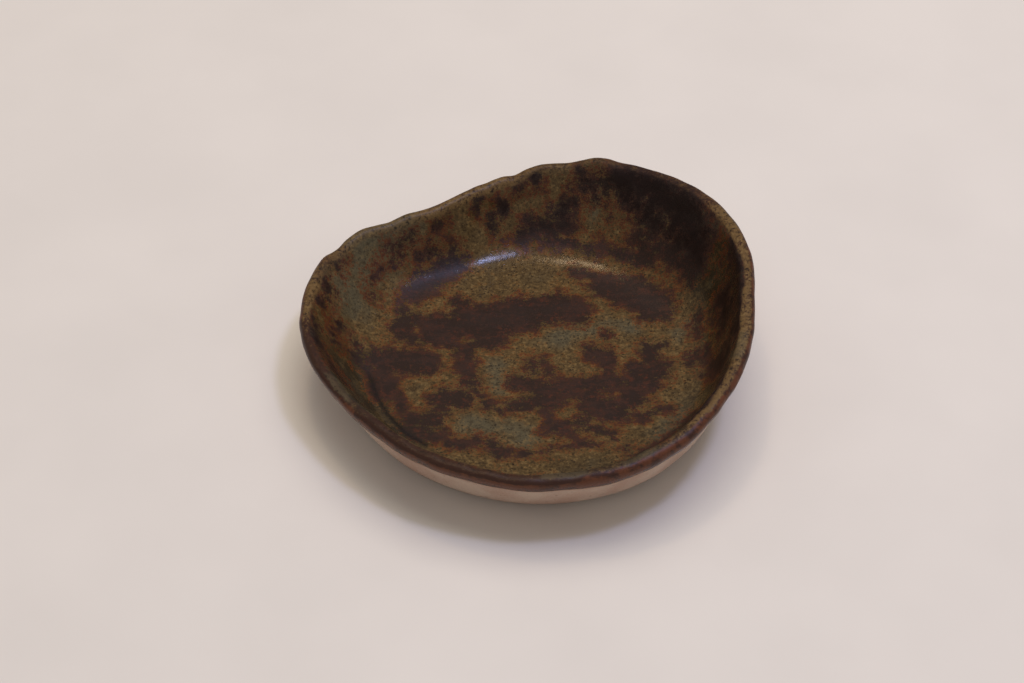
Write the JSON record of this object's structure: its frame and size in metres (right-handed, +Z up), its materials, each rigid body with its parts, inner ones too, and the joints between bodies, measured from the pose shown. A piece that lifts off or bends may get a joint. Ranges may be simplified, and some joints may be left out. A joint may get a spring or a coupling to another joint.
{
  "type": "sauce dish",
  "caption": "Small hand-pinched stoneware dish with a wavy rim, flaring wall and flat floor, glazed inside and over the lip and bare outside, for sauce, salt or pickles.",
  "frame": {"origin": "middle of the flat base, on the table", "axes": "+Z up out of the dish; the tall side of the rim faces +X +Y and the flattened side faces -X +Y"},
  "size_m": [0.0982, 0.0991, 0.025],
  "materials": {
    "bare_clay": "unglazed fired stoneware, smooth and matt, pinkish beige",
    "iron_glaze": "glossy olive ash glaze, mottled with dark brown iron and fine specks"
  },
  "bodies": {
    "root": {"clay_body": "bare_clay", "glaze_coat": "iron_glaze"}
  },
  "joints": []
}
